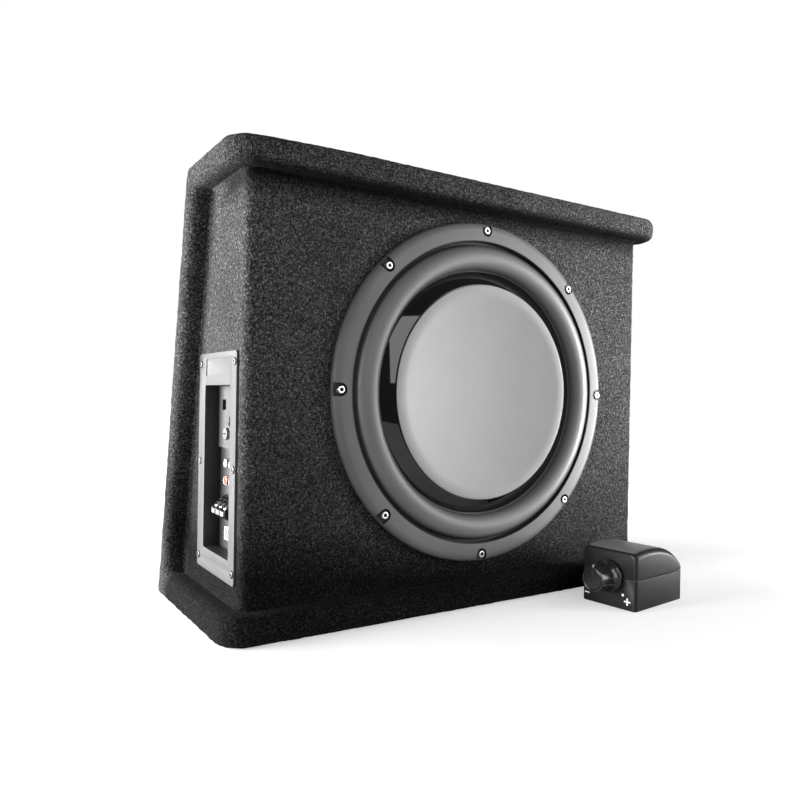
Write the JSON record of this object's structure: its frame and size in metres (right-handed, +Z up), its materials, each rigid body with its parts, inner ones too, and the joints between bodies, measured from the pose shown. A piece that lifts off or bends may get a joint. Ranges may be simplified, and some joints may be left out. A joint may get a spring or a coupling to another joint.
{
  "type": "powered car subwoofer",
  "caption": "Carpeted wedge bass box with a shallow flat-faced driver, a side amplifier bay with controls and sockets, and a loose wired level control",
  "frame": {"origin": "centre of the enclosure's base, on the surface that it stands on", "axes": "+Z up, the driver faces -Y, the amplifier bay opens to -X"},
  "size_m": [0.5, 0.2796, 0.4],
  "materials": {
    "carpet": "charcoal needle-punch carpet, matt with a light speckle",
    "board": "raw medium-density fibreboard",
    "basket": "black powder coat",
    "ring": "satin moulded ring",
    "rubber": "satin rubber half roll",
    "cone": "filled polypropylene",
    "cone_gloss": "polished black",
    "disc": "fine satin grey",
    "spider": "resin-dipped cotton",
    "former": "thin rolled sheet",
    "copper": "enamelled copper wire",
    "steel": "turned, zinc plated",
    "ferrite": "sintered ferrite",
    "screw_steel": "bright zinc",
    "black_plastic": "moulded black",
    "white_plastic": "natural white nylon",
    "bezel": "light grey, fine moulded texture",
    "end_panel": "grey anodised sheet",
    "control_plate": "grey satin",
    "knob": "grey satin",
    "jack_white": "white insulator, plated sleeve",
    "jack_red": "red insulator, plated sleeve",
    "circuit_board": "green solder mask",
    "wire_red": "insulated lead",
    "wire_black": "insulated lead",
    "remote": "satin black moulded shell",
    "remote_knob": "black, lightly polished"
  },
  "bodies": {
    "enclosure": {"top_board": "board", "bottom_board": "board", "back_panel": "board", "front_baffle": "board", "left_side_panel": "board", "right_side_panel": "board", "carpet_outer_wrap": "carpet", "carpet_front_wrap": "carpet", "driver_basket": "basket", "trim_ring": "ring", "surround": "rubber", "spider": "spider", "top_plate": "steel", "magnet": "ferrite", "pole_yoke": "steel", "driver_terminal": "black_plastic", "driver_screw_1": "screw_steel", "driver_screw_2": "screw_steel", "driver_screw_3": "screw_steel", "driver_screw_4": "screw_steel", "driver_screw_5": "screw_steel", "driver_screw_6": "screw_steel", "driver_screw_7": "screw_steel", "driver_screw_8": "screw_steel", "speaker_wire_positive": "wire_red", "speaker_wire_negative": "wire_black", "amp_bezel": "bezel", "bezel_screw_1": "screw_steel", "bezel_screw_2": "screw_steel", "bezel_screw_3": "screw_steel", "bezel_screw_4": "screw_steel", "bezel_screw_5": "screw_steel", "bezel_screw_6": "screw_steel", "amp_chassis": "basket", "amp_end_panel": "end_panel", "control_plate": "control_plate", "remote_socket": "black_plastic", "rca_jack_1": "jack_white", "rca_jack_2": "jack_red", "rca_jack_3": "jack_white", "rca_jack_4": "jack_red", "terminal_block": "black_plastic", "terminal_screw_1": "screw_steel", "terminal_screw_2": "screw_steel", "terminal_screw_3": "screw_steel", "high_level_socket": "white_plastic", "amp_circuit_board": "circuit_board"},
    "cone_assembly": {"cone": "cone", "cone_cover": "cone_gloss", "cover_disc": "disc", "voice_coil_former": "former", "voice_coil_winding": "copper"},
    "gain_control": {"gain_knob": "knob"},
    "crossover_control": {"crossover_knob": "knob"},
    "bass_boost_control": {"bass_boost_knob": "knob"},
    "phase_switch": {"phase_switch_slider": "black_plastic"},
    "remote_unit": {"remote_upper_shell": "remote", "remote_lower_shell": "remote", "remote_potentiometer": "steel"},
    "remote_level_knob": {"remote_knob": "remote_knob"}
  },
  "joints": [
    {"name": "cone_travel", "type": "slide", "parent": "enclosure", "child": "cone_assembly", "axis": [0, -1, 0], "range_m": [-0.008, 0.008], "stiffness_N_per_m": 4000, "deforming": ["surround", "spider"]},
    {"name": "gain_turn", "type": "hinge", "parent": "enclosure", "child": "gain_control", "pos_m": [-0.2197, -0.0105, 0.1612], "axis": [-1, 0, 0], "range_deg": [-140, 140]},
    {"name": "crossover_turn", "type": "hinge", "parent": "enclosure", "child": "crossover_control", "pos_m": [-0.2197, -0.036, 0.1612], "axis": [-1, 0, 0], "range_deg": [-140, 140]},
    {"name": "bass_boost_turn", "type": "hinge", "parent": "enclosure", "child": "bass_boost_control", "pos_m": [-0.2197, -0.036, 0.187], "axis": [-1, 0, 0], "range_deg": [-140, 140]},
    {"name": "phase_switch_travel", "type": "slide", "parent": "enclosure", "child": "phase_switch", "axis": [0, 0, 1], "range_m": [0, 0.004]},
    {"name": "remote_slide", "type": "slide", "parent": "enclosure", "child": "remote_unit", "axis": [0, -1, 0], "range_m": [0, 0.25]},
    {"name": "remote_level_turn", "type": "hinge", "parent": "remote_unit", "child": "remote_level_knob", "pos_m": [0.10845, -0.15321, 0.029], "axis": [-0.993, -0.1184, 0], "range_deg": [-150, 135]}
  ]
}
